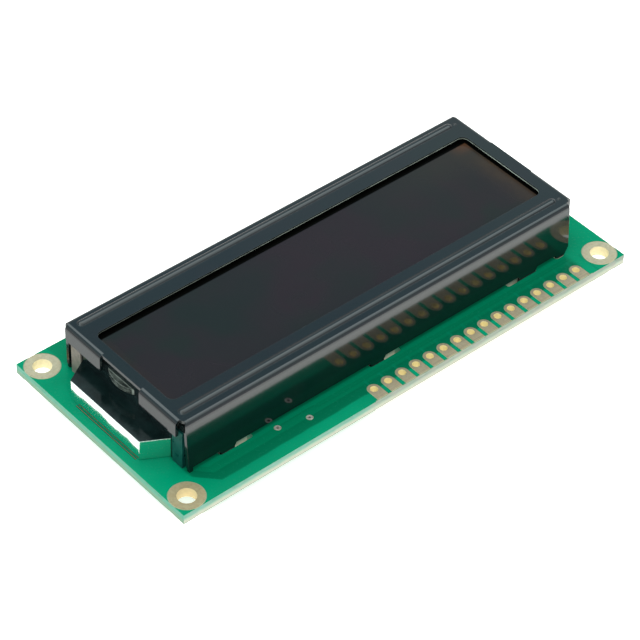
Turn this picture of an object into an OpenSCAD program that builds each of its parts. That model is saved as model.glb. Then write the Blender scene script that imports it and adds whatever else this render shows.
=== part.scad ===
// 16 x 2 character liquid-crystal display module, chip-on-board type.
// Millimetres, +Z up. The origin is under the middle of the circuit board, on
// the plane that the tips of the bezel's twisted lugs stand on. +X runs along
// the long side, away from the backlight's nose; the row of header pads is on
// the -Y side; the display faces +Z.

/* [Circuit board] */
// Length of the board
pcb_l = 80; // [78:0.5:84]
// Width of the board
pcb_w = 36; // [35:0.5:38]
// Thickness of the board with its coatings
pcb_t = 1.6; // [1.4:0.1:1.8]
// Thickness of the copper and of the solder mask
coat_t = 0.05; // [0.04:0.01:0.08]
// Distance between mounting holes along the board
mount_dx = 75; // [74:0.5:76]
// Distance between mounting holes across the board
mount_dy = 31; // [30:0.5:31.5]
// Diameter of the mounting holes
mount_d = 2.7; // [2.4:0.1:2.9]
// Diameter of the tinned ring round a mounting hole
mount_ring_d = 4.9; // [4.4:0.1:4.9]

/* [Header] */
// Number of header holes
pin_n = 16; // [12:1:16]
// Pitch of the header holes
pin_pitch = 2.54; // [2.54]
// Diameter of a header hole
pin_d = 1.12; // [0.9:0.01:1.3]
// Width of a header pad
pad_w = 1.85; // [1.6:0.05:2]
// Distance from the first header hole to the right end of the board
pin_end = 7.67; // [7.4:0.01:8]
// Distance from the header row to the front edge of the board
pin_edge = 2.0; // [1.8:0.1:2.2]

/* [Bezel] */
// Length over the end flanges
bezel_l = 71.0; // [70.6:0.1:71.4]
// Width over the long flanges at the top
bezel_w = 25.4; // [25:0.1:25.8]
// Height of the bezel's face above the board
bezel_h = 8.3; // [8.2:0.1:8.8]
// Thickness of the sheet
sheet_t = 0.5; // [0.4:0.05:0.5]
// Outer radius of the folds
fold_r = 0.75; // [0.7:0.05:0.9]
// Offset of the bezel towards the rear of the board
bezel_off = 0.7; // [0.4:0.05:0.8]
// Outward lean of the front flange, in degrees
front_lean = 4.5; // [0:0.5:5]
// Height of the end flanges
end_flange_h = 2.7; // [2:0.1:2.8]
// Length of the window
window_l = 66.55; // [64:0.05:66.8]
// Width of the window
window_w = 16.3; // [15:0.1:16.5]
// Corner radius of the window
window_r = 1.1; // [0.8:0.1:2]
// Height of the two embossed ribs
rib_h = 0.28; // [0.2:0.02:0.3]
// Length of a locking lug below the board
lug_drop = 2.0; // [1.8:0.1:2.4]
// Width of a locking lug
lug_w = 2.2; // [2:0.1:2.2]
// Height of the long flanges' lower edges above the board
flange_lift = 0.65; // [0.4:0.05:0.8]

/* [Display cell] */
// Length of the front glass
glass_l = 69.2; // [68.6:0.1:69.2]
// Width of the front glass
glass_w = 23.6; // [23.2:0.1:23.6]
// Width of the rear glass, between the contact strips
rear_glass_w = 19.2; // [18.8:0.1:19.2]
// Thickness of each glass
glass_t = 1.1; // [0.7:0.1:1.1]
// Thickness of a polarizer
polarizer_t = 0.2; // [0.15:0.05:0.2]

/* [Backlight] */
// Thickness of the light guide under the cell
guide_t = 4.65; // [4.5:0.05:4.65]
// Height of the nose above the board
nose_h = 3.5; // [3.2:0.1:3.6]
// Length over which the nose tapers
nose_l = 3.7; // [3.4:0.1:3.8]
// Width of the nose at its tip
nose_w = 14.6; // [13:0.1:15]

/* [Hidden] */
$fn = 64;
e = 0.01;

zb = lug_drop;              // underside of the board
zt = zb + pcb_t;            // top of the board
lam0 = zb + coat_t;         // laminate, underside
lam1 = zt - coat_t;         // laminate, top
cy = 0.45;                  // centre line of the cell and its contact strips
bcy = 0.65;                 // centre line of the backlight
wcx = -0.22;                // middle of the window
wcy = 0.7;

pin_x1 = pcb_l/2 - pin_end;
pin_y = -pcb_w/2 + pin_edge;
pin_xs = [for (i = [0:pin_n-1]) pin_x1 - i*pin_pitch];
mounts = [for (sx = [-1, 1], sy = [-1, 1]) [sx*mount_dx/2, sy*mount_dy/2]];
vias = [[-20.53, -13.46], [-15.97, -14.65], [-30.6, 14.9], [-8.4, 15.1], [6.2, 14.7], [21.5, 15.3], [-27.9, 1.5], [30.5, -5.4]];
via_r = 0.2;

// lugs [middle, width] and the slots [left end, right end] that they pass through
lugs = [[-28.2, lug_w], [-2.0, lug_w], [26.2, lug_w + 0.8]];
slot_ends = [[-29.6, -24.0], [-3.35, 2.2], [22.4, 28.0]];
slot_w = 1.1;
peg_x = 32.55;
peg_w = 1.0;

lean_foot = bezel_h*tan(front_lean);
front_y = bezel_off - bezel_w/2;             // outer face of the front flange at the top
rear_y = bezel_off + bezel_w/2;              // outer face of the rear flange
front_foot_y = front_y - lean_foot*0.92;     // outer face of the front flange at the board
lug_f_y = front_foot_y + sheet_t/2;
lug_r_y = rear_y - sheet_t/2;
slot_f_y = front_foot_y - 0.04 + slot_w/2;
slot_r_y = rear_y + 0.04 - slot_w/2;

end_y0 = bezel_off - 11.4;                   // ends of the end flanges
end_y1 = bezel_off + 12;
notch_y0 = bezel_off - 3.8;                  // and of their notches
notch_y1 = bezel_off + 4.45;

top_z = zt + bezel_h;                        // face of the bezel
pol1_z = top_z - sheet_t - 0.3;              // face of the front polarizer
glass1_z = pol1_z - polarizer_t - glass_t;   // underside of the front glass
seal_t = 0.05;
glass0_z = glass1_z - seal_t - glass_t;      // underside of the rear glass
pol0_z = glass0_z - polarizer_t;             // underside of the rear polarizer
diff_t = 0.1;
guide_top = pol0_z - diff_t;
base_t = 0.1;
guide_z = guide_top - guide_t;               // underside of the light guide
film_t = 0.1;

zebra_in = 9.8;                              // inner face of a contact strip from the cell's centre line
zebra_w = 2.0;
guide_hw = 9.45;
guide_x0 = -34.6;
guide_x1 = 34.3;
nose_x = guide_x0 - nose_l;

glob_a = [-15.5, 1.2];
glob_b = [15.2, 0.6];
glob_ra = 8.0;
glob_rb = 7.0;
glob_h = 1.35;
res_pos = [[3.6, -9.4], [7.2, -9.4], [10.8, -9.4], [14.4, -9.4], [18.0, -9.4], [-4.6, 10.6]];
cap_pos = [[-27.5, -8.2], [28.4, 8.6], [-27.5, 9.8]];
chip_l = 2.0;
chip_w = 1.25;
res_t = 0.5;
cap_t = 0.8;
chip_gap = 0.05;
led_x = nose_x + 0.75;
led_pin_y = 4.4;

// ---------------------------------------------------------------- helpers

module round_rect(l, w, r) {
  square([l - 2*r, w], center = true);
  square([l, w - 2*r], center = true);
  for (sx = [-1, 1], sy = [-1, 1]) translate([sx*(l/2 - r), sy*(w/2 - r)]) circle(r);
}

module tube(ro, ri, h) {
  difference() {
    cylinder(r = ro, h = h);
    translate([0, 0, -e]) cylinder(r = ri, h = h + 2*e);
  }
}

// plan of the slots in the board, larger all round by g, and by gp at the pegs
module slots(g = 0, gp = 0) {
  for (s = slot_ends, y = [slot_f_y, slot_r_y])
    translate([(s[0] + s[1])/2, y]) round_rect(s[1] - s[0] + 2*g, slot_w + 2*g, 0.4 + g);
  for (p = [[peg_x, slot_f_y], [peg_x, slot_r_y]])
    translate(p) round_rect(1.5 + 2*gp, slot_w + 2*gp, 0.4 + gp);
}

// plan of one header pad: round at the back, running out to the board's edge
module header_pad(g = 0) {
  circle(pad_w/2 + g);
  translate([-pad_w/2 - g, -1.85 - g]) square([pad_w + 2*g, 1.85 + g]);
}

// plan of the holes that pass right through the laminate
module board_holes() {
  for (p = mounts) translate(p) circle(mount_d/2 + 0.03);
  for (x = pin_xs) translate([x, pin_y]) circle(pin_d/2 + 0.03, $fn = 48);
  for (p = vias) translate(p) circle(via_r + 0.03, $fn = 24);
  for (s = [-1, 1]) translate([led_x, bcy + s*led_pin_y]) circle(0.45, $fn = 32);
  slots();
}

// plan of the openings that both solder masks have
module mask_openings() {
  for (p = mounts) translate(p) circle(mount_ring_d/2 + 0.12);
  for (p = vias) translate(p) circle(via_r + 0.32, $fn = 32);
  for (x = pin_xs) translate([x, pin_y]) header_pad(0.06);
  translate([(pin_xs[0] + pin_xs[pin_n-1])/2, -pcb_w/2])
    square([(pin_n - 1)*pin_pitch + pad_w + 0.9, 2*0.15], center = true);
  slots(0.02, 0.12);
}

// ---------------------------------------------------------------- circuit board

module pcb_laminate() {
  color([0.72, 0.80, 0.70])
  translate([0, 0, lam0]) linear_extrude(lam1 - lam0) difference() {
    square([pcb_l, pcb_w], center = true);
    board_holes();
  }
}

module solder_mask_front() {
  color([0.0, 0.56, 0.40])
  translate([0, 0, lam1]) linear_extrude(coat_t) difference() {
    square([pcb_l, pcb_w], center = true);
    mask_openings();
    for (s = [-1, 1]) {
      translate([led_x, bcy + s*led_pin_y]) circle(0.65, $fn = 32);
      translate([0, cy + s*(zebra_in + zebra_w/2)]) square([67.6, 1.8], center = true);
    }
  }
}

module solder_mask_back() {
  color([0.0, 0.50, 0.36])
  translate([0, 0, zb]) linear_extrude(coat_t) difference() {
    square([pcb_l, pcb_w], center = true);
    mask_openings();
    for (s = [-1, 1]) translate([led_x, bcy + s*led_pin_y]) circle(1.05, $fn = 32);
  }
}

module mounting_hole_rings() {
  color([0.74, 0.70, 0.60])
  for (p = mounts) translate([p[0], p[1], zb]) difference() {
    union() {
      cylinder(d = mount_ring_d, h = coat_t);
      translate([0, 0, pcb_t - coat_t]) cylinder(d = mount_ring_d, h = coat_t);
      cylinder(r = mount_d/2 + 0.03, h = pcb_t);
    }
    translate([0, 0, -e]) cylinder(d = mount_d, h = pcb_t + 2*e);
  }
}

module header_pads() {
  color([0.78, 0.73, 0.60])
  for (x = pin_xs) translate([x, pin_y, zb]) difference() {
    union() {
      linear_extrude(coat_t) header_pad();
      translate([0, 0, pcb_t - coat_t]) linear_extrude(coat_t) header_pad();
      cylinder(r = pin_d/2 + 0.03, h = pcb_t, $fn = 48);
    }
    translate([0, 0, -e]) cylinder(d = pin_d, h = pcb_t + 2*e, $fn = 48);
  }
}

module via_pads() {
  color([0.78, 0.78, 0.74])
  for (p = vias) translate([p[0], p[1], zb]) difference() {
    union() {
      cylinder(r = via_r + 0.25, h = coat_t, $fn = 32);
      translate([0, 0, pcb_t - coat_t]) cylinder(r = via_r + 0.25, h = coat_t, $fn = 32);
      cylinder(r = via_r + 0.03, h = pcb_t, $fn = 24);
    }
    translate([0, 0, -e]) cylinder(r = via_r, h = pcb_t + 2*e, $fn = 24);
  }
}

// 16 row lines and 80 column lines, half of them under each contact strip
module contact_fingers() {
  color([0.83, 0.67, 0.33])
  for (s = [-1, 1], i = [0:47])
    translate([(i - 23.5)*1.4 - 0.4, cy + s*(zebra_in + zebra_w/2) - 0.85, lam1]) cube([0.8, 1.7, coat_t]);
}

// ---------------------------------------------------------------- bezel

// section of a fold and flange: the fold starts at the origin and turns down
// towards -X; the flange leans out by the angle a
module flange_section(h, a = 0) {
  rotate(-a) difference() {
    intersection() {
      circle(fold_r);
      translate([-fold_r, 0]) square([fold_r, fold_r]);
    }
    circle(fold_r - sheet_t);
  }
  if (a > 0) intersection() {
    difference() { circle(fold_r); circle(fold_r - sheet_t); }
    polygon([[0, 0], [0, 2*fold_r], [2*fold_r*sin(a), 2*fold_r*cos(a)]]);
  }
  rotate(-a) translate([-fold_r, -(h - fold_r)/cos(a)]) square([sheet_t, (h - fold_r)/cos(a)]);
}

// one long flange seen from its front, z = 0 at the board; its lower edge is lifted
// between the lugs' flared roots, a small foot at one end and the peg's shoulder at the other
module flange_outline(x0, x1, sx) {
  xp = sx > 0 ? x1 : -x0;
  xf = sx > 0 ? x0 : -x1;
  translate([x0, 1.1]) square([x1 - x0, bezel_h]);
  for (l = lugs)
    polygon([[l[0] - l[1]/2, 0], [l[0] + l[1]/2, 0], [l[0] + l[1]/2, 0.15], [l[0] + l[1]/2 + 0.35, flange_lift + e],
             [l[0] - l[1]/2 - 0.35, flange_lift + e], [l[0] - l[1]/2, 0.15]]);
  mirror([sx > 0 ? 0 : 1, 0]) {
    polygon([[xf, flange_lift], [xp - 0.3, flange_lift], [xp, 1.1 + e], [xf, 1.1 + e]]);
    polygon([[31.9, 0], [33.3, 0], [xp - 0.3, flange_lift + e], [31.6, flange_lift + e]]);
    translate([xf + 0.1, 0]) square([0.6, flange_lift + e]);
  }
}

// one long flange with its fold, lying along X, outer face towards -Y
module long_flange(lean, x0, x1, sx) {
  intersection() {
    translate([x0, fold_r, -fold_r]) rotate([90, 0, 90])
      linear_extrude(x1 - x0) flange_section(bezel_h + 0.5, lean);
    translate([0, 0, -bezel_h]) rotate([90, 0, 0]) linear_extrude(12, center = true) flange_outline(x0, x1, sx);
  }
}

// one lug: through the board, then twisted
module lug(x, y, w) {
  translate([x, y, 0]) {
    translate([-w/2, -sheet_t/2, zb - 0.25]) cube([w, sheet_t, pcb_t + 0.25 + 0.05]);
    for (i = [1:4])
      rotate(i*9) translate([-w/2, -sheet_t/2, zb - 0.25 - 0.25*i]) cube([w, sheet_t, 0.25 + e]);
    rotate(45) translate([-w/2, -sheet_t/2, 0]) cube([w, sheet_t, zb - 1.25 + e]);
  }
}

module rib(y, x0, x1) {
  r = 0.85;
  translate([0, y, rib_h - r]) {
    translate([x0 + 0.6, 0, 0]) rotate([0, 90, 0]) cylinder(r = r, h = x1 - x0 - 1.2);
    translate([x0 + 0.6, 0, 0]) sphere(r);
    translate([x1 - 0.6, 0, 0]) sphere(r);
  }
}

module rib_groove(y, x0, x1) {
  r = 0.85 - sheet_t;
  translate([0, y, rib_h - 0.85]) {
    translate([x0 + 0.6, 0, 0]) rotate([0, 90, 0]) cylinder(r = r, h = x1 - x0 - 1.2);
    translate([x0 + 0.6, 0, 0]) sphere(r);
    translate([x1 - 0.6, 0, 0]) sphere(r);
  }
}

// outer face towards -X, length along Y, notched over the end of the cell
module end_flange() {
  difference() {
    translate([fold_r, end_y1, -fold_r]) rotate([90, 0, 0])
      linear_extrude(end_y1 - end_y0) flange_section(end_flange_h);
    translate([-1, notch_y0, -5]) cube([1 + fold_r, notch_y1 - notch_y0, 6]);
    // the lower corner next to the rear flange is eased
    translate([-1, end_y1, -end_flange_h]) rotate([45, 0, 0]) translate([0, -0.25, -0.25]) cube([3, 0.5, 0.5]);
  }
}

module bezel() {
  hx = bezel_l/2 - fold_r;
  hy = bezel_w/2 - fold_r;
  ribs = [[-9.7, -34.1, 33.3], [11.7, -34.1, 33.3]];
  color([0.16, 0.20, 0.23])
  union() {
    translate([0, 0, top_z]) difference() {
      union() {
        // face, with the short tongues that the end notches leave
        translate([-hx, bezel_off - hy, -sheet_t]) cube([2*hx, 2*hy, sheet_t]);
        translate([-hx - 0.4, notch_y0, -sheet_t]) cube([2*hx + 0.8, notch_y1 - notch_y0, sheet_t]);
        intersection() {
          for (r = ribs) rib(r[0], r[1], r[2]);
          translate([-40, -20, -sheet_t/2]) cube([80, 40, 2]);
        }
        for (r = ribs) translate([r[2] + 0.5, r[0] - 0.25, -0.21]) sphere(0.35, $fn = 32);
        translate([-bezel_l/2, 0, 0]) end_flange();
        mirror([1, 0, 0]) translate([-bezel_l/2, 0, 0]) end_flange();
        translate([0, front_y, 0]) long_flange(front_lean, -34.8, 34.1, 1);
        translate([0, rear_y, 0]) mirror([0, 1, 0]) long_flange(0, -34.9, 34.9, 1);
        // one corner is drawn closed
        translate([hx, bezel_off + hy, -fold_r]) difference() {
          intersection() {
            sphere(fold_r - 0.01);
            translate([-0.02, -0.02, 0]) cube(2*fold_r);
          }
          sphere(fold_r - sheet_t + 0.01);
        }
      }
      for (r = ribs) rib_groove(r[0], r[1], r[2]);
      translate([wcx, wcy, -sheet_t - 1]) linear_extrude(sheet_t + 2) round_rect(window_l, window_w, window_r);
      for (sx = [-1, 1]) translate([sx*(bezel_l/2 - 0.55), front_y + 0.6, -1.6]) cylinder(r = 0.45, h = 3);
      translate([-bezel_l/2 + 0.42, rear_y - 0.45, -1.6]) cylinder(r = 0.3, h = 3);
    }
    for (l = lugs) { lug(l[0], lug_f_y, l[1]); lug(l[0], lug_r_y, l[1]); }
    for (p = [[peg_x, lug_f_y], [peg_x, lug_r_y]])
      translate([p[0] - peg_w/2, p[1] - sheet_t/2, zb + 0.3]) cube([peg_w, sheet_t, pcb_t - 0.3 + 0.05]);
  }
}

// ---------------------------------------------------------------- display cell

module front_polarizer() {
  color([0.20, 0.21, 0.22])
  translate([-33.9, wcy - 9.1, pol1_z - polarizer_t]) cube([67.8, 18.2, polarizer_t]);
}

module front_glass() {
  color([0.62, 0.70, 0.70])
  translate([-glass_l/2, cy - glass_w/2, glass1_z]) cube([glass_l, glass_w, glass_t]);
}

module cell_seal() {
  color([0.45, 0.47, 0.46])
  translate([0, cy, glass1_z - seal_t]) linear_extrude(seal_t) difference() {
    square([glass_l - 0.5, rear_glass_w - 0.5], center = true);
    square([glass_l - 2.5, rear_glass_w - 2.3], center = true);
    // fill port
    translate([-glass_l/2, 0.85]) square([3, 1.6], center = true);
  }
}

module fill_port_plug() {
  // drop of clear resin over the fill port, on the end of the rear glass
  r = 5.2;
  sag = 0.8;
  color([0.80, 0.82, 0.80])
  intersection() {
    translate([-glass_l/2 + r - sag, cy + 1.3, glass0_z + 0.25]) cylinder(r = r, h = glass_t - 0.25, $fn = 96);
    translate([-glass_l/2 - 2, cy - 6, 0]) cube([2, 12, 20]);
  }
}

module rear_glass() {
  color([0.55, 0.62, 0.62])
  translate([-glass_l/2, cy - rear_glass_w/2, glass0_z]) cube([glass_l, rear_glass_w, glass_t]);
}

module rear_polarizer() {
  color([0.40, 0.42, 0.42])
  translate([-33.9, cy - rear_glass_w/2 + 0.4, pol0_z]) cube([67.8, rear_glass_w - 0.8, polarizer_t]);
}

module zebra(s) {
  translate([-34.95, cy + s*(zebra_in + zebra_w/2) - zebra_w/2, zt]) cube([69.25, zebra_w, glass1_z - zt]);
}

module zebra_strip_front() { color([0.55, 0.50, 0.50]) zebra(-1); }
module zebra_strip_rear() { color([0.55, 0.50, 0.50]) zebra(1); }

// ---------------------------------------------------------------- backlight

// plan of the backlight; g brings its outline in
module guide_plan(g = 0) {
  nw = nose_w/2 - g;
  polygon([[nose_x + g, bcy - nw], [nose_x + g, bcy + nw], [guide_x0, bcy + guide_hw - g],
           [guide_x1 - g, bcy + guide_hw - g], [guide_x1 - g, bcy - guide_hw + g], [guide_x0, bcy - guide_hw + g]]);
}

module light_guide() {
  color([0.88, 0.92, 0.90])
  difference() {
    translate([0, 0, guide_z]) linear_extrude(guide_t) guide_plan(film_t);
    // the nose is lower than the part under the cell
    translate([nose_x - 1, bcy - 12, zt + nose_h - film_t]) cube([nose_l + 1, 24, 5]);
    // pocket for the lamp
    translate([nose_x + 0.3, bcy - 5.8, guide_z - 1]) cube([1.45, 11.6, zt + nose_h - film_t - 0.5 - guide_z + 1]);
  }
}

module diffuser_film() {
  color([0.95, 0.95, 0.95])
  translate([guide_x0 + 0.3, bcy - guide_hw + 0.3, guide_top]) cube([guide_x1 - guide_x0 - 0.6, 2*guide_hw - 0.6, diff_t]);
}

module base_reflector() {
  color([0.96, 0.96, 0.96])
  translate([0, 0, zt]) linear_extrude(guide_z - zt) difference() {
    guide_plan(film_t + 0.1);
    translate([led_x, bcy]) square([1.2, 11.4], center = true);
  }
}

module nose_reflector() {
  color([0.90, 0.92, 0.91])
  translate([0, 0, zt + 0.05]) linear_extrude(nose_h - film_t - 0.05) difference() {
    guide_plan();
    guide_plan(film_t);
    translate([guide_x0, bcy - 20]) square([100, 40]);
  }
}

// over the nose, then up the end of the guide and of the cell's lower edge; a flap on each side closes the gap beside it
module nose_cover_film() {
  color([0.08, 0.09, 0.10]) {
    translate([0, 0, zt + nose_h - film_t]) linear_extrude(film_t) difference() {
      guide_plan();
      translate([guide_x0 - 0.02, bcy - 20]) square([100, 40]);
    }
    translate([guide_x0 - film_t, bcy - guide_hw, zt + nose_h - e]) cube([film_t - 0.01, 2*guide_hw, glass0_z + 0.2 - zt - nose_h + e]);
    translate([0, 0, zt]) linear_extrude(guide_top - zt) difference() {
      translate([guide_x0 - film_t, cy - zebra_in + 0.05]) square([film_t - 0.01, 2*zebra_in - 0.1]);
      translate([-40, bcy - guide_hw]) square([10, 2*guide_hw]);
    }
  }
}

module led_carrier() {
  color([0.90, 0.90, 0.86])
  difference() {
    translate([led_x - 0.4, bcy - 5.5, zt]) cube([0.8, 11, 2.6]);
    for (s = [-1, 1]) translate([led_x, bcy + s*led_pin_y, zt - 1]) cylinder(r = 0.25, h = 2.2, $fn = 24);
  }
}

module led_chips() {
  color([0.95, 0.90, 0.55])
  for (s = [-1, 1]) translate([led_x + 0.4, bcy + s*2.4 - 0.6, zt + 0.9]) cube([0.35, 1.2, 0.8]);
}

module led_pins() {
  color([0.80, 0.80, 0.78])
  for (s = [-1, 1]) translate([led_x, bcy + s*led_pin_y, zb - 0.75]) cylinder(r = 0.25, h = pcb_t + 0.75 + 1.2, $fn = 24);
}

module led_solder_joints() {
  color([0.74, 0.75, 0.76])
  for (s = [-1, 1]) translate([led_x, bcy + s*led_pin_y, 0]) difference() {
    union() {
      translate([0, 0, zb - 0.5]) cylinder(r1 = 0.4, r2 = 0.95, h = 0.5 + coat_t, $fn = 32);
      translate([0, 0, zb]) cylinder(r = 0.45, h = pcb_t, $fn = 32);
    }
    translate([0, 0, zb - 1]) cylinder(r = 0.25, h = 3, $fn = 24);
  }
}

// ---------------------------------------------------------------- electronics on the back

module die(p, l, w) { translate([p[0] - l/2, p[1] - w/2, zb - 0.35]) cube([l, w, 0.35]); }

module controller_die() { color([0.30, 0.31, 0.34]) die(glob_a, 4.4, 3.8); }
module driver_die() { color([0.30, 0.31, 0.34]) die(glob_b, 3.6, 3.2); }

// domed cap of black resin, hanging from the board's underside
module glob(p, rg) {
  rs = (rg*rg + glob_h*glob_h)/(2*glob_h);
  translate([p[0], p[1], 0]) intersection() {
    translate([0, 0, zb - glob_h + rs]) sphere(rs, $fn = 128);
    translate([-rg - 1, -rg - 1, zb - glob_h - 1]) cube([2*rg + 2, 2*rg + 2, glob_h + 1]);
  }
}

module controller_glob_top() { color([0.05, 0.05, 0.06]) difference() { glob(glob_a, glob_ra); die(glob_a, 4.4, 3.8 ); } }
module driver_glob_top() { color([0.05, 0.05, 0.06]) difference() { glob(glob_b, glob_rb); die(glob_b, 3.6, 3.2); } }

module chip_resistors() {
  color([0.10, 0.10, 0.11])
  for (p = res_pos) translate([p[0] - chip_w/2, p[1] - chip_l/2, zb - chip_gap - res_t]) cube([chip_w, chip_l, res_t]);
}

module chip_capacitors() {
  color([0.66, 0.50, 0.34])
  for (p = cap_pos) translate([p[0] - chip_w/2, p[1] - chip_l/2, zb - chip_gap - cap_t]) cube([chip_w, chip_l, cap_t]);
}

module joint(h) {
  // fillet at one end of a chip part; the chip's end face is at the origin, facing +Y
  rotate([90, 0, 90]) translate([0, 0, -chip_w/2]) linear_extrude(chip_w)
    polygon([[0, 0], [0.55, 0], [0.2, -0.18], [0, -h]]);
}

module chip_solder_joints() {
  color([0.74, 0.75, 0.76])
  for (p = concat([for (q = res_pos) [q[0], q[1], 0.42]], [for (q = cap_pos) [q[0], q[1], 0.6]]))
    for (s = [0, 1]) translate([p[0], p[1], zb]) mirror([0, s, 0]) translate([0, chip_l/2, 0]) joint(p[2]);
}

// ---------------------------------------------------------------- assembly

pcb_laminate();
solder_mask_front();
solder_mask_back();
mounting_hole_rings();
header_pads();
via_pads();
contact_fingers();
bezel();
front_polarizer();
front_glass();
cell_seal();
fill_port_plug();
rear_glass();
rear_polarizer();
zebra_strip_front();
zebra_strip_rear();
light_guide();
diffuser_film();
base_reflector();
nose_reflector();
nose_cover_film();
led_carrier();
led_chips();
led_pins();
led_solder_joints();
controller_die();
driver_die();
controller_glob_top();
driver_glob_top();
chip_resistors();
chip_capacitors();
chip_solder_joints();
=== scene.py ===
import bpy
from mathutils import Vector, Matrix


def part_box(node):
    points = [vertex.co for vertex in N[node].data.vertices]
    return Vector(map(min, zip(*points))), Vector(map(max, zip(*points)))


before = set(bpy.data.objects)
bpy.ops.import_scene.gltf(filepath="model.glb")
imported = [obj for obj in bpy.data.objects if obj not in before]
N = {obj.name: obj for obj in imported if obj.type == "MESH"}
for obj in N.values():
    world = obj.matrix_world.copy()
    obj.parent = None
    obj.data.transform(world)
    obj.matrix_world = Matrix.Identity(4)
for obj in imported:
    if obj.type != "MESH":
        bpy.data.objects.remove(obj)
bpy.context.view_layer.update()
MM = 0.001
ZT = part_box("solder_mask_front")[1].z          # top of the board
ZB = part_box("solder_mask_back")[0].z           # underside of the board

# ---------------------------------------------------------------- node helpers

class Mat:
    """A small wrapper that builds a node tree; coordinates are in millimetres."""

    def __init__(self, name):
        self.m = bpy.data.materials.new(name)
        self.m.use_nodes = True
        self.nt = self.m.node_tree
        self.nt.nodes.clear()
        self.out = self.n("ShaderNodeOutputMaterial")
        self.p = self.n("ShaderNodeBsdfPrincipled")
        self.link(self.p.outputs[0], self.out.inputs[0])
        tc = self.n("ShaderNodeTexCoord")
        mp = self.n("ShaderNodeMapping")
        mp.inputs["Scale"].default_value = (1000, 1000, 1000)
        self.link(tc.outputs["Object"], mp.inputs[0])
        self.co = mp.outputs[0]
        self._xyz = None

    def n(self, kind, **kw):
        x = self.nt.nodes.new(kind)
        for k, v in kw.items():
            setattr(x, k, v)
        return x

    def link(self, a, b):
        self.nt.links.new(a, b)

    def put(self, v, sock):
        if isinstance(v, bpy.types.NodeSocket):
            self.link(v, sock)
        elif v is not None:
            if isinstance(v, (tuple, list)) and len(v) == 3 and sock.type == "RGBA":
                v = (*v, 1)
            sock.default_value = v

    def set(self, **kw):
        names = dict(color="Base Color", rough="Roughness", metal="Metallic", ior="IOR", coat="Coat Weight",
                     coat_rough="Coat Roughness", spec="Specular IOR Level", trans="Transmission Weight",
                     alpha="Alpha", sss="Subsurface Weight", normal="Normal", emit="Emission Strength",
                     emit_color="Emission Color", sheen="Sheen Weight", coat_ior="Coat IOR", aniso="Anisotropic")
        for k, v in kw.items():
            self.put(v, self.p.inputs[names[k]])
        return self

    def scaled(self, s, rot=(0, 0, 0), loc=(0, 0, 0)):
        mp = self.n("ShaderNodeMapping")
        mp.inputs["Scale"].default_value = s if isinstance(s, tuple) else (s, s, s)
        mp.inputs["Rotation"].default_value = rot
        mp.inputs["Location"].default_value = loc
        self.link(self.co, mp.inputs[0])
        return mp.outputs[0]

    def noise(self, scale, detail=3, rough=0.55, vec=None, distort=0.0):
        x = self.n("ShaderNodeTexNoise")
        x.inputs["Scale"].default_value = scale
        x.inputs["Detail"].default_value = detail
        x.inputs["Roughness"].default_value = rough
        x.inputs["Distortion"].default_value = distort
        self.link(vec if vec is not None else self.co, x.inputs["Vector"])
        return x.outputs["Fac"]

    def voronoi(self, scale, vec=None, feature="F1", out="Distance", rand=1.0):
        x = self.n("ShaderNodeTexVoronoi", feature=feature)
        x.inputs["Scale"].default_value = scale
        x.inputs["Randomness"].default_value = rand
        self.link(vec if vec is not None else self.co, x.inputs["Vector"])
        return x.outputs[out]

    def ramp(self, fac, stops, interp="LINEAR"):
        x = self.n("ShaderNodeValToRGB")
        x.color_ramp.interpolation = interp
        els = x.color_ramp.elements
        while len(els) > 1:
            els.remove(els[-1])
        for i, (pos, c) in enumerate(stops):
            e = els[0] if i == 0 else els.new(pos)
            e.position = pos
            if not isinstance(c, (tuple, list)):
                c = (c, c, c)
            e.color = (*c, 1) if len(c) == 3 else c
        self.link(fac, x.inputs[0])
        return x.outputs[0]

    def math(self, op, a, b=None, c=None, clamp=False):
        x = self.n("ShaderNodeMath", operation=op, use_clamp=clamp)
        self.put(a, x.inputs[0])
        if b is not None:
            self.put(b, x.inputs[1])
        if c is not None:
            self.put(c, x.inputs[2])
        return x.outputs[0]

    def mix(self, fac, a, b, mode="MIX"):
        x = self.n("ShaderNodeMix", data_type="RGBA", blend_type=mode)
        self.put(fac, x.inputs[0])
        self.put(a, x.inputs[6])
        self.put(b, x.inputs[7])
        return x.outputs[2]

    def mixf(self, fac, a, b):
        x = self.n("ShaderNodeMix", data_type="FLOAT")
        self.put(fac, x.inputs[0])
        self.put(a, x.inputs[2])
        self.put(b, x.inputs[3])
        return x.outputs[0]

    def remap(self, v, a, b, c, d, smooth=False):
        x = self.n("ShaderNodeMapRange", interpolation_type="SMOOTHSTEP" if smooth else "LINEAR")
        self.put(v, x.inputs[0])
        for i, q in enumerate((a, b, c, d)):
            x.inputs[i + 1].default_value = q
        return x.outputs[0]

    @property
    def xyz(self):
        if self._xyz is None:
            x = self.n("ShaderNodeSeparateXYZ")
            self.link(self.co, x.inputs[0])
            self._xyz = x.outputs
        return self._xyz

    def normal_z(self):
        g = self.n("ShaderNodeNewGeometry")
        x = self.n("ShaderNodeSeparateXYZ")
        self.link(g.outputs["Normal"], x.inputs[0])
        return x.outputs[2]

    def bevel(self, radius=0.08):
        """The shading normal with the solid's edges rounded to radius (mm)."""
        x = self.n("ShaderNodeBevel")
        x.samples = 4
        x.inputs["Radius"].default_value = radius * MM
        return x.outputs[0]

    def edge(self, radius=0.08):
        """1 along the solid's edges, 0 elsewhere."""
        g = self.n("ShaderNodeNewGeometry")
        x = self.n("ShaderNodeVectorMath", operation="DOT_PRODUCT")
        self.link(g.outputs["Normal"], x.inputs[0])
        self.link(self.bevel(radius), x.inputs[1])
        return self.remap(x.outputs["Value"], 0.99, 0.86, 0, 1)

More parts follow.
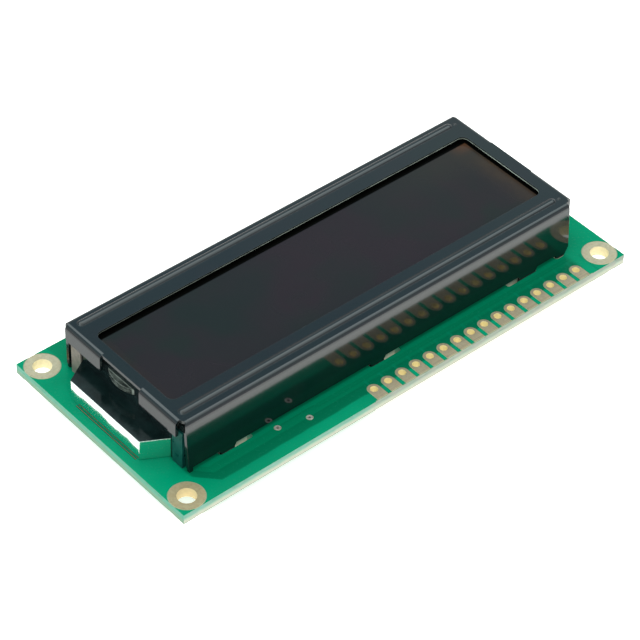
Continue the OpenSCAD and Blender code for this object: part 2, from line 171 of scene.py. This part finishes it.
    def tilted(self, normal, dz):
        """A normal leant up or down by dz."""
        cb = self.n("ShaderNodeCombineXYZ")
        self.put(dz, cb.inputs[2])
        va = self.n("ShaderNodeVectorMath", operation="ADD")
        self.link(normal, va.inputs[0])
        self.link(cb.outputs[0], va.inputs[1])
        vn = self.n("ShaderNodeVectorMath", operation="NORMALIZE")
        self.link(va.outputs[0], vn.inputs[0])
        return vn.outputs[0]

    def bump(self, height, strength=0.3, dist=0.05, normal=None):
        x = self.n("ShaderNodeBump")
        x.inputs["Strength"].default_value = strength
        x.inputs["Distance"].default_value = dist * MM
        self.link(height, x.inputs["Height"])
        if normal is not None:
            self.link(normal, x.inputs["Normal"])
        return x.outputs[0]


def put_mat(obj, mat):
    obj.data.materials.clear()
    obj.data.materials.append(mat.m if isinstance(mat, Mat) else mat)


# ---------------------------------------------------------------- materials

def m_mask(name, front):
    k = Mat(name)
    x, y, z = k.xyz
    big = k.noise(0.10, 2)
    fine = k.noise(2.0, 4, 0.6)
    bright, mid, dark = (0.0, 0.262, 0.128), (0.0, 0.165, 0.078), (0.0, 0.120, 0.058)
    base = k.mix(k.remap(big, 0.35, 0.65, 0, 1), (0.0, 0.235, 0.118), (0.0, 0.275, 0.140))
    height = k.math("MULTIPLY", k.noise(1.3, 2, 0.5), 0.25)
    if front:
        # copper under the mask, partly painted shade: bands that run along the front edge and turn towards the left
        # end; between the ends the mask is left darker than along the front edge and at the ends, most of all in the
        # dark band behind the header pads
        turn = k.math("MULTIPLY", k.math("MAXIMUM", k.math("SUBTRACT", -32.2, x), 0.0), 1.05)
        yy = k.math("SUBTRACT", y, turn)
        wob = k.math("ADD", yy, k.remap(k.noise(0.35, 2), 0.3, 0.7, -0.06, 0.06))
        stop = k.remap(x, -35.2, -34.6, 0, 1, True)
        rightend = k.remap(x, 32.6, 33.8, 1, 0, True)
        zone = k.math("MULTIPLY", stop, rightend)
        m1 = k.math("MULTIPLY", k.remap(wob, -16.35, -15.95, 0, 1, True), zone)
        m2 = k.math("MULTIPLY", k.remap(wob, -14.75, -14.45, 1, 0, True), m1)
        m3 = k.math("MULTIPLY", k.math("MULTIPLY", k.remap(wob, -13.35, -13.05, 0, 1, True), m1), 0.35)
        base = k.mix(m1, base, mid)
        base = k.mix(k.math("MULTIPLY", m2, 0.85), base, dark)
        base = k.mix(m3, base, bright)
        # single tracks
        def line(v, at, w, amount=0.22):
            d = k.math("ABSOLUTE", k.math("SUBTRACT", v, at))
            return k.math("MULTIPLY", k.remap(d, w * 0.5, w * 0.5 + 0.08, amount, 0, True), zone)
        step = k.math("MULTIPLY", k.remap(x, -14.2, -13.6, 0, 1), 0.55)
        v2 = k.math("ADD", y, step)
        l1 = k.math("MULTIPLY", line(v2, -13.3, 0.18), k.remap(x, -20.9, -20.7, 0, 1))
        l2 = k.math("MULTIPLY", line(yy, -14.6, 0.2, 0.3), k.remap(x, 12.0, 13.0, 1, 0))
        l3 = k.math("MULTIPLY", line(v2, -13.95, 0.2, 0.2), k.remap(x, -8.0, -7.0, 0, 1))
        tracks = k.math("MAXIMUM", k.math("MAXIMUM", l1, l2), l3)
        base = k.mix(tracks, base, (0.0, 0.095, 0.046))
        # fine vertical tracks from the header pads
        px = k.math("SUBTRACT", k.math("MODULO", k.math("ADD", k.math("SUBTRACT", x, 32.33), 254 * 0.5 + 1.27), 2.54), 1.27)
        pad_track = k.math("MULTIPLY", k.remap(k.math("ABSOLUTE", px), 0.14, 0.26, 0.5, 0, True),
                           k.math("MULTIPLY", k.remap(x, -7.2, -7.0, 0, 1), k.remap(y, -14.0, -13.9, 1, 0)))
        base = k.mix(pad_track, base, (0.0, 0.19, 0.10))
        height = k.math("ADD", height, k.math("ADD", k.math("MULTIPLY", m1, 0.6), k.math("MULTIPLY", tracks, -0.4)))
    if front:
        # the line along the foot of the backlight's nose: two dark edges and a pale middle
        along = k.math("MULTIPLY", k.remap(y, -6.35, -6.2, 0, 1), k.remap(y, 6.5, 6.65, 1, 0))
        off = k.math("ABSOLUTE", k.math("ADD", x, 38.53))
        base = k.mix(k.math("MULTIPLY", k.remap(off, 0.115, 0.155, 0.95, 0), along), base, (0.002, 0.012, 0.007))
        base = k.mix(k.math("MULTIPLY", k.remap(off, 0.025, 0.045, 0.8, 0), along), base, (0.24, 0.33, 0.17))
    base = k.mix(k.remap(fine, 0.3, 0.7, 0, 0.18), base, (0.0, 0.14, 0.07))
    e = k.edge(0.08)
    base = k.mix(k.math("MULTIPLY", e, 0.35), base, (0.03, 0.30, 0.19))
    k.set(color=base, rough=k.remap(fine, 0.3, 0.7, 0.20, 0.30), spec=0.06)
    k.set(normal=k.bump(height, 0.25, 0.02))
    return k


def m_laminate(name):
    k = Mat(name)
    x, y, z = k.xyz
    lay = k.noise(1.0, 4, 0.65, vec=k.scaled((0.22, 0.22, 5.0)))
    blot = k.noise(0.9, 3, 0.6)
    side = k.ramp(k.math("ADD", k.math("MULTIPLY", lay, 0.6), k.math("MULTIPLY", blot, 0.4)),
                  [(0.36, (0.27, 0.40, 0.30)), (0.48, (0.42, 0.56, 0.42)), (0.56, (0.52, 0.58, 0.46)), (0.66, (0.62, 0.66, 0.54))])
    # the upper half of the cut edge takes a green cast from the mask, the lower half is beige
    low = k.remap(z, 2.3, 3.0, 1, 0, True)
    side = k.mix(k.math("MULTIPLY", low, 0.75), side, (0.52, 0.49, 0.39))
    edge_line = k.remap(z, 2.05, 2.15, 1, 0)
    side = k.mix(k.math("MULTIPLY", edge_line, 0.7), side, (0.36, 0.32, 0.27))
    # light carried inside the board: teal near the mask, most of all at the ends
    g = k.n("ShaderNodeNewGeometry")
    gx = k.n("ShaderNodeSeparateXYZ")
    k.link(g.outputs["Normal"], gx.inputs[0])
    isx = k.remap(k.math("ABSOLUTE", gx.outputs[0]), 0.4, 0.6, 0, 1)
    up = k.remap(k.math("ADD", z, k.remap(blot, 0.3, 0.7, -0.15, 0.15)), 2.45, 3.1, 0, 1, True)
    front_tint = k.mix(k.remap(x, -9.0, -7.0, 0, 1, True), (0.38, 0.66, 0.66), (0.60, 0.57, 0.60))
    tint = k.mix(up, k.mix(isx, (1.0, 1.0, 1.0), (0.36, 0.60, 0.51)), k.mix(isx, front_tint, (0.21, 0.60, 0.54)))
    side = k.mix(1.0, side, tint, "MULTIPLY")
    top = k.ramp(blot, [(0.35, (0.24, 0.29, 0.195)), (0.7, (0.31, 0.345, 0.25))])
    nz = k.math("ABSOLUTE", k.normal_z())
    col = k.mix(k.remap(nz, 0.4, 0.6, 0, 1), side, top)
    # painted highlight: the board's edges are lightened
    e = k.edge(0.10)
    col = k.mix(k.math("MULTIPLY", e, 0.25), col, (0.60, 0.66, 0.56))
    k.set(color=col, rough=k.remap(blot, 0.3, 0.7, 0.45, 0.65), spec=0.3, normal=k.bump(lay, 0.4, 0.04))
    return k


def m_tin(name, warm=(0.60, 0.55, 0.42), metal=0.3, rough=0.42, barrel=None, pitch=False, rim=None):
    """Tinned copper; barrel is the colour of the plated hole's wall, which faces sideways."""
    k = Mat(name)
    x, y, z = k.xyz
    a = k.noise(2.2, 5, 0.62)
    b = k.noise(14.0, 3, 0.6)
    c = k.noise(0.9, 2, 0.5, vec=k.scaled(1.0, loc=(11, 5, 3)))
    col = k.ramp(a, [(0.32, tuple(q * 0.84 for q in warm)), (0.5, warm), (0.7, tuple(min(1, q * 1.14) for q in warm))])
    col = k.mix(k.remap(c, 0.45, 0.65, 0, 0.35), col, (warm[0] * 1.0, warm[1] * 0.88, warm[2] * 0.78))
    met = metal
    if barrel is not None:
        nz = k.math("ABSOLUTE", k.normal_z())
        wall = k.remap(nz, 0.3, 0.5, 1, 0)
        bar = k.ramp(a, [(0.35, tuple(q * 0.88 for q in barrel)), (0.65, barrel)])
        col = k.mix(wall, col, bar)
        met = k.mixf(wall, metal, 0.0)
    # the corner nearest the viewer is browner; the pads are rubbed in lines along the board's edge
    fl = k.math("MULTIPLY", k.remap(x, -30, -35, 0, 1), k.remap(y, -8, -14, 0, 1))
    col = k.mix(fl, col, k.mix(1.0, col, (0.83, 0.77, 0.64), "MULTIPLY"))
    if pitch:
        rub = k.noise(1.0, 3, 0.6, vec=k.scaled((0.25, 9.0, 1.0)))
        low = k.remap(y, -16.9, -17.3, 0, 1)
        col = k.mix(k.math("MULTIPLY", k.remap(rub, 0.45, 0.6, 0, 0.5), low), col, (warm[0] * 1.35, warm[1] * 1.22, warm[2] * 1.2))
        seam = k.math("ABSOLUTE", k.math("ADD", y, 17.5))
        col = k.mix(k.remap(seam, 0.03, 0.07, 0.35, 0), col, (warm[0] * 0.55, warm[1] * 0.5, warm[2] * 0.5))
    # painted highlight: the edges of the pads and rings are lightened
    e = k.edge(0.06)
    col = k.mix(k.math("MULTIPLY", e, 0.3), col, tuple(min(1, q * 1.3) for q in warm))
    k.set(color=col, metal=met, rough=k.remap(a, 0.3, 0.7, rough - 0.06, rough + 0.08), normal=k.bump(b, 0.22, 0.02))
    return k


def m_paint(name):
    k = Mat(name)
    x, y, z = k.xyz
    a = k.noise(0.07, 2)
    b = k.noise(7.0, 3, 0.55)
    c = k.noise(0.16, 2, 0.5, vec=k.scaled(1.0, loc=(3, 17, 5)))
    col = k.mix(k.remap(a, 0.38, 0.62, 0, 1), (0.0012, 0.0040, 0.0060), (0.0022, 0.0062, 0.0068))
    col = k.mix(k.remap(c, 0.5, 0.66, 0, 0.7), col, (0.0040, 0.0048, 0.0070))
    e = k.edge(0.06)
    worn = k.math("MULTIPLY", e, k.remap(k.noise(1.1, 3, 0.6), 0.35, 0.6, 0.15, 0.8))
    col = k.mix(worn, col, (0.045, 0.055, 0.060))
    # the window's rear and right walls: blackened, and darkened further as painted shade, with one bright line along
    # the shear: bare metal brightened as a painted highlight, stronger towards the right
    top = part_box("bezel")[1].z / MM - 0.28
    inx = k.math("MULTIPLY", k.remap(x, -33.6, -33.5, 0, 1), k.remap(x, 33.1, 33.2, 1, 0))
    iny = k.math("MULTIPLY", k.remap(y, -7.6, -7.5, 0, 1), k.remap(y, 8.9, 9.0, 1, 0))
    wall = k.math("MULTIPLY", k.math("MULTIPLY", inx, iny), k.remap(z, top - 0.02, top - 0.05, 0, 1))
    col = k.mix(wall, col, (0.0012, 0.0014, 0.0012))
    shear_line_highlight = k.remap(k.math("ABSOLUTE", k.math("SUBTRACT", z, top - 0.25)), 0.05, 0.09, 1, 0)
    shear_line_highlight = k.math("MULTIPLY", k.math("MULTIPLY", shear_line_highlight, wall), k.remap(k.noise(0.5, 2), 0.35, 0.55, 0.45, 1.0))
    highlight_rightward = k.remap(x, -33.0, 20.0, 0.25, 1.0)
    col = k.mix(k.math("MULTIPLY", shear_line_highlight, highlight_rightward), col, (0.52, 0.60, 0.52))
    # the end flanges flare a little, and the front flange leans a little more than drawn
    bev = k.bevel(0.07)
    sp = k.n("ShaderNodeSeparateXYZ")
    k.link(bev, sp.inputs[0])
    flare = k.math("MULTIPLY", k.remap(k.math("ABSOLUTE", sp.outputs[0]), 0.75, 0.9, 0, 1), 0.16)
    lean = k.math("MULTIPLY", k.remap(sp.outputs[1], -0.75, -0.92, 0, 1), -0.045)
    vn = k.tilted(bev, k.math("ADD", flare, lean))
    # the paint is duller on the far slopes of the ribs
    far = k.math("MULTIPLY", k.remap(sp.outputs[1], 0.18, 0.34, 0, 1), k.remap(sp.outputs[2], 0.45, 0.6, 0, 1))
    shiny = k.mixf(k.math("MAXIMUM", far, wall), 0.5, 0.13)
    k.set(color=col, rough=k.remap(b, 0.3, 0.7, 0.07, 0.11), ior=k.mixf(k.math("MULTIPLY", flare, 6.25), 1.70, 1.56), spec=shiny, normal=k.bump(b, 0.05, 0.012, vn))
    return k


def m_polarizer(name):
    k = Mat(name)
    x, y, z = k.xyz
    a = k.noise(0.06, 2, 0.5)
    c = k.noise(0.15, 2, 0.5, vec=k.scaled(1.0, loc=(31, 7, 0)))
    col = k.ramp(a, [(0.36, (0.0085, 0.0125, 0.0120)), (0.5, (0.0150, 0.0102, 0.0130)), (0.64, (0.0130, 0.0100, 0.0120))])
    col = k.mix(k.remap(c, 0.48, 0.66, 0, 0.8), col, (0.0085, 0.0135, 0.0115))
    # a brown cast at the ends, where light leaks up between the cell and the frame
    red = k.math("MAXIMUM", k.remap(x, 28.5, 32.5, 0, 1, True), k.remap(x, -31.6, -33.2, 0, 0.22, True))
    red = k.math("MULTIPLY", red, k.remap(k.noise(0.25, 2), 0.35, 0.6, 0.5, 1.0))
    col = k.mix(k.math("MULTIPLY", red, 0.8), col, (0.046, 0.026, 0.013))
    rr = k.math("MULTIPLY", k.remap(x, 8, 32, 0, 1, True), k.remap(y, 0, 8, 0.15, 1, True))
    col = k.mix(k.math("MULTIPLY", rr, 0.6), col, (0.026, 0.0225, 0.0165))
    pm = k.math("MULTIPLY", k.remap(k.math("ABSOLUTE", k.math("SUBTRACT", x, 4.0)), 8, 24, 0.55, 0, True), k.remap(k.noise(0.09, 2), 0.35, 0.6, 0.5, 1.0))
    col = k.mix(pm, col, (0.0205, 0.0105, 0.0155))
    hot = k.math("MULTIPLY", k.remap(x, 29.0, 32.4, 0, 1, True), k.remap(y, 5.6, 7.9, 0, 1, True))
    col = k.mix(k.math("MULTIPLY", hot, 0.7), col, (0.080, 0.032, 0.014))
    # near the window's rear and right edges, and beyond the viewing area under the frame, the sheet is black: black
    # mask print, and inside the window a painted shadow of the frame
    rim = k.math("MAXIMUM", k.remap(y, 8.00, 8.20, 0, 1, True), k.remap(x, 32.65, 32.85, 0, 1, True))
    f = k.noise(30, 2)
    e = k.edge(0.1)
    col = k.mix(k.math("MULTIPLY", e, 0.3), col, (0.03, 0.03, 0.03))
    col = k.mix(rim, col, (0.0012, 0.0014, 0.0012))
    k.set(color=col, rough=k.remap(f, 0.3, 0.7, 0.10, 0.15), spec=k.mixf(rim, 0.33, 0.06))
    return k


def m_glass(name, tint=(0.006, 0.010, 0.010)):
    k = Mat(name)
    a = k.noise(0.8, 3)
    e = k.edge(0.05)
    col = k.mix(k.remap(a, 0.3, 0.7, 0, 1), tint, tuple(c * 1.6 for c in tint))
    k.set(color=k.mix(k.math("MULTIPLY", e, 0.3), col, (0.08, 0.10, 0.10)), rough=k.remap(a, 0.3, 0.7, 0.05, 0.09), spec=0.5)
    return k


def m_plain(name, col, rough=0.5, metal=0.0, scale=6.0, var=0.18, bump=0.15, spec=0.5, edge=0.25, streak=None):
    k = Mat(name)
    a = k.noise(scale, 4, 0.6, vec=k.scaled(streak) if streak else None)
    c0 = tuple(c * (1 - var) for c in col)
    c1 = tuple(min(1.0, c * (1 + var)) for c in col)
    base = k.ramp(a, [(0.3, c0), (0.7, c1)])
    if edge:
        base = k.mix(k.math("MULTIPLY", k.edge(0.06), edge), base, tuple(min(1.0, c * 1.6 + 0.02) for c in col))
    k.set(color=base, rough=k.remap(a, 0.3, 0.7, max(0.02, rough - 0.06), rough + 0.06),
          metal=metal, spec=spec, normal=k.bump(a, bump, 0.02))
    return k


def m_plug(name):
    """Clear resin that looks dark, with a bright rim and a bright line where it meets the glass, both painted
    highlights.
    """
    k = Mat(name)
    x, y, z = k.xyz
    a = k.noise(1.8, 3, 0.55, vec=k.scaled((1.0, 0.5, 1.0)))
    b = k.noise(5.0, 3, 0.6, vec=k.scaled((2.0, 0.6, 1.0)))
    col = k.ramp(a, [(0.35, (0.016, 0.022, 0.019)), (0.5, (0.045, 0.055, 0.048)), (0.66, (0.11, 0.13, 0.115))])
    col = k.mix(k.remap(b, 0.5, 0.7, 0, 0.35), col, (0.20, 0.23, 0.20))
    # painted highlight: the rim, and the part where it meets the glass, are lightened
    rim = k.math("MAXIMUM", k.edge(0.10), k.remap(x, -34.80, -34.72, 0, 0.9))
    col = k.mix(k.math("MULTIPLY", rim, k.remap(a, 0.35, 0.6, 0.6, 0.95)), col, (0.36, 0.42, 0.37))
    k.set(color=col, rough=k.remap(b, 0.3, 0.7, 0.10, 0.22), spec=0.5, normal=k.bump(b, 0.2, 0.03, k.bevel(0.12)))
    return k


def m_mirror(name):
    k = Mat(name)
    x, y, z = k.xyz
    a = k.noise(0.45, 2, 0.45, vec=k.scaled((1.0, 1.0, 0.6)))
    b = k.noise(3.0, 3, 0.6)
    col = k.ramp(b, [(0.3, (0.80, 0.86, 0.84)), (0.7, (0.90, 0.93, 0.91))])
    e = k.edge(0.05)
    col = k.mix(k.math("MULTIPLY", e, 0.6), col, (0.95, 0.95, 0.92))
    g = k.n("ShaderNodeNewGeometry")
    gx = k.n("ShaderNodeSeparateXYZ")
    k.link(g.outputs["Normal"], gx.inputs[0])
    isx = k.remap(k.math("ABSOLUTE", gx.outputs[0]), 0.6, 0.9, 0, 1)
    # the foil is slack: it bulges a little, unevenly along its length, and rounds the corners
    lift = k.remap(a, 0.3, 0.7, 0.045, 0.105)
    k.set(color=col, metal=1.0, rough=k.remap(b, 0.3, 0.7, 0.10, 0.15), normal=k.tilted(k.bevel(0.22), k.math("MULTIPLY", lift, isx)))
    return k


def m_rubber(name, c1, c2, stripe=0.18):
    k = Mat(name)
    x, y, z = k.xyz
    a = k.noise(1.2, 3, 0.6)
    # layered conductor strip: thin stripes across its length
    s = k.math("PINGPONG", x, stripe)
    col = k.mix(k.remap(s, 0.07, 0.11, 0, 0.35, True), k.mix(k.remap(a, 0.35, 0.65, 0, 1), c1, c2), tuple(c * 0.5 for c in c1))
    e = k.edge(0.12)
    col = k.mix(k.math("MULTIPLY", e, 0.4), col, tuple(min(1, c * 2.2 + 0.01) for c in c2))
    k.set(color=col, rough=k.remap(a, 0.3, 0.7, 0.26, 0.42), spec=0.45, normal=k.bump(a, 0.2, 0.04))
    return k


MATS = {
    "pcb_laminate": m_laminate("laminate"),
    "solder_mask_front": m_mask("mask_front", True),
    "solder_mask_back": m_mask("mask_back", False),
    "mounting_hole_rings": m_tin("ring_tin", (0.44, 0.40, 0.275), barrel=(0.97, 0.86, 0.56)),
    "header_pads": m_tin("pad_tin", (0.33, 0.285, 0.19), barrel=(0.97, 0.84, 0.46), pitch=True),
    "via_pads": m_tin("via_tin", (0.62, 0.60, 0.54), metal=0.6, rough=0.3),
    "contact_fingers": m_plain("finger_gold", (0.75, 0.55, 0.25), 0.3, 1.0),
    "bezel": m_paint("bezel_paint"),
    "front_polarizer": m_polarizer("polarizer"),
    "front_glass": m_glass("glass_front"),
    "cell_seal": m_plain("seal", (0.02, 0.025, 0.024), 0.5),
    "fill_port_plug": m_plug("plug"),
    "rear_glass": m_glass("glass_rear"),
    "rear_polarizer": m_plain("polarizer_rear", (0.03, 0.03, 0.03), 0.3),
    # the front strip's dark teal is painted shade and a painted reflection; the rear strip shows the rubber's own grey
    "zebra_strip_front": m_rubber("zebra_front_painted_shade", (0.002, 0.040, 0.036), (0.004, 0.075, 0.062)),
    "zebra_strip_rear": m_rubber("zebra_rear", (0.13, 0.12, 0.105), (0.22, 0.19, 0.165)),
    "light_guide": m_plain("acrylic", (0.80, 0.84, 0.82), 0.1),
    "diffuser_film": m_plain("diffuser", (0.9, 0.9, 0.88), 0.5),
    "base_reflector": m_plain("base_white", (0.9, 0.9, 0.88), 0.5),
    "nose_reflector": m_mirror("mirror_film"),
    "nose_cover_film": m_plain("cover_film", (0.0048, 0.0125, 0.0125), 0.16, 0.0, 0.5, 0.4, 0.03, spec=0.42, edge=0.6),
    "led_carrier": m_plain("led_board", (0.8, 0.8, 0.76), 0.5),
    "led_chips": m_plain("led_chip", (0.85, 0.75, 0.3), 0.4),
    "led_pins": m_plain("led_pin", (0.7, 0.7, 0.68), 0.25, 1.0),
    "led_solder_joints": m_plain("solder_led", (0.62, 0.63, 0.64), 0.25, 1.0),
    "controller_die": m_plain("die_a", (0.2, 0.21, 0.24), 0.2),
    "driver_die": m_plain("die_b", (0.2, 0.21, 0.24), 0.2),
    "controller_glob_top": m_plain("resin_a", (0.012, 0.012, 0.014), 0.30, 0, 1.2),
    "driver_glob_top": m_plain("resin_b", (0.012, 0.012, 0.014), 0.30, 0, 1.2),
    "chip_resistors": m_plain("resistor", (0.02, 0.02, 0.022), 0.3),
    "chip_capacitors": m_plain("capacitor", (0.42, 0.27, 0.15), 0.4),
    "chip_solder_joints": m_plain("solder_chip", (0.62, 0.63, 0.64), 0.25, 1.0),
}
for name, mat in MATS.items():
    put_mat(N[name], mat)

# ---------------------------------------------------------------- stage

def plane(name, size, z):
    me = bpy.data.meshes.new(name)
    s = size / 2
    me.from_pydata([(-s, -s, z), (s, -s, z), (s, s, z), (-s, s, z)], [], [(0, 1, 2, 3)])
    o = bpy.data.objects.new(name, me)
    bpy.context.scene.collection.objects.link(o)
    return o


floor = plane("floor", 6.0, -0.00002)
kf = Mat("floor_mat")
kf.set(color=kf.mix(kf.remap(kf.noise(0.02, 2), 0.3, 0.7, 0, 1), (0.87, 0.865, 0.855), (0.89, 0.885, 0.875)), rough=0.85, spec=0.2,
       emit_color=(1.0, 0.96, 0.93), emit=0.68)
put_mat(floor, kf)

world = bpy.data.worlds.new("studio")
bpy.context.scene.world = world
world.use_nodes = True
wt = world.node_tree
bg = wt.nodes["Background"]
bg.inputs[1].default_value = 0.92
wtc = wt.nodes.new("ShaderNodeTexCoord")
wsep = wt.nodes.new("ShaderNodeSeparateXYZ")
wt.links.new(wtc.outputs["Generated"], wsep.inputs[0])


def world_ramp(src, stops):
    x = wt.nodes.new("ShaderNodeValToRGB")
    x.color_ramp.interpolation = "EASE"
    els = x.color_ramp.elements
    for i, (pos, c) in enumerate(stops):
        el = els[0] if i == 0 else (els.new(pos) if i < len(stops) - 1 else els[-1])
        el.position = pos
        el.color = (*c, 1)
    wt.links.new(src, x.inputs[0])
    return x.outputs[0]


# a pale sweep near the floor, a cooler and dimmer room above it, and a large soft box overhead
room = world_ramp(wsep.outputs[2], [(0.0, (1.0, 1.0, 0.98)), (0.16, (0.95, 0.97, 0.97)), (0.42, (0.56, 0.68, 0.72)),
                                    (0.62, (0.52, 0.67, 0.70)), (0.66, (0.37, 0.53, 0.62)), (0.69, (0.27, 0.42, 0.50)),
                                    (0.715, (0.32, 0.47, 0.54)), (0.785, (2.05, 2.40, 2.45)), (1.0, (1.75, 1.90, 1.85))])
near = wt.nodes.new("ShaderNodeMapRange")
wt.links.new(wsep.outputs[1], near.inputs[0])
for i, v in enumerate((-0.60, 0.15, 0.30, 1.0)):
    near.inputs[i + 1].default_value = v
high = wt.nodes.new("ShaderNodeMapRange")
wt.links.new(wsep.outputs[2], high.inputs[0])
for i, v in enumerate((0.35, 0.60, 0.0, 1.0)):
    high.inputs[i + 1].default_value = v
fade = wt.nodes.new("ShaderNodeMix")
wt.links.new(high.outputs[0], fade.inputs[0])
fade.inputs[2].default_value = 1.0
wt.links.new(near.outputs[0], fade.inputs[3])
shade = wt.nodes.new("ShaderNodeVectorMath")
shade.operation = "SCALE"
wt.links.new(room, shade.inputs[0])
wt.links.new(fade.outputs[0], shade.inputs[3])
front = wt.nodes.new("ShaderNodeMapRange")
wt.links.new(wsep.outputs[1], front.inputs[0])
for i, v in enumerate((-0.15, -0.55, 0.0, 1.0)):
    front.inputs[i + 1].default_value = v
wall = wt.nodes.new("ShaderNodeVectorMath")
wall.operation = "SCALE"
wall.inputs[0].default_value = (0.62, 0.66, 0.68)
wt.links.new(front.outputs[0], wall.inputs[3])
both = wt.nodes.new("ShaderNodeVectorMath")
both.operation = "MAXIMUM"
wt.links.new(shade.outputs[0], both.inputs[0])
wt.links.new(wall.outputs[0], both.inputs[1])
wt.links.new(both.outputs[0], bg.inputs[0])


def area(name, loc, target, size, power, color=(1, 1, 1), size_y=None):
    d = bpy.data.lights.new(name, "AREA")
    d.energy = power
    d.color = color
    d.shape = "RECTANGLE"
    d.size = size
    d.size_y = size_y or size
    o = bpy.data.objects.new(name, d)
    bpy.context.scene.collection.objects.link(o)
    o.location = loc
    o.rotation_mode = "QUATERNION"
    o.rotation_quaternion = (Vector(target) - Vector(loc)).to_track_quat("-Z", "Y")
    o.visible_glossy = False
    return o


area("top", (0.085, 0.07, 0.90), (0.085, 0.07, 0), 0.90, 2.2, (1.0, 0.92, 0.82), 1.04)
area("front", (-0.50, -0.60, 0.75), (0, 0, 0), 0.70, 3.4, (1.0, 0.97, 0.92), 0.60)

cam_d = bpy.data.cameras.new("camera")
cam = bpy.data.objects.new("camera", cam_d)
bpy.context.scene.collection.objects.link(cam)
cam_d.sensor_width = 36
cam_d.lens = 153.8714
cam_d.clip_start = 0.01
cam_d.clip_end = 20
R = Vector((0.756461, -0.653411, 0.028659))
U = Vector((0.427945, 0.527621, 0.733811))
B = Vector((-0.494601, -0.542835, 0.678749))
cam.matrix_world = Matrix(((R.x, U.x, B.x, -0.188592), (R.y, U.y, B.y, -0.205383), (R.z, U.z, B.z, 0.258973), (0, 0, 0, 1)))
bpy.context.scene.camera = cam
bpy.context.scene.view_settings.view_transform = "Standard"
